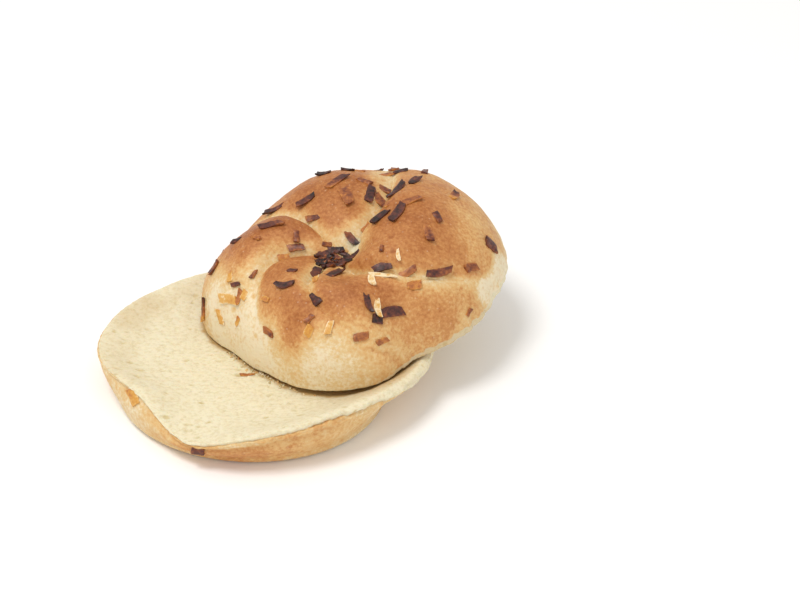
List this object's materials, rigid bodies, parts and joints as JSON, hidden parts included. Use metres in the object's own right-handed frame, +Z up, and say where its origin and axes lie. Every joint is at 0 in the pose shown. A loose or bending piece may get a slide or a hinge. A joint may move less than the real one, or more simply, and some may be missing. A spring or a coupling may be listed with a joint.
{
  "type": "cut bread roll",
  "caption": "Onion-topped pinwheel bread roll cut through: a domed crown with spiral lobes leaning on its dished heel.",
  "frame": {"origin": "middle of the heel's flat underside, on the surface that the roll lies on", "axes": "+Z up, away from that surface; +X towards the raised right side, where the crown overhangs; +Y to the back, away from the bare cut face"},
  "size_m": [0.1377, 0.1255, 0.0561],
  "materials": {
    "crust": "baked crust, satin, golden brown with paler creases and dark onion flakes",
    "crumb": "matt, finely porous cream crumb with a thin golden crust below"
  },
  "bodies": {
    "root": {"crown": "crust", "heel": "crumb"}
  },
  "joints": []
}
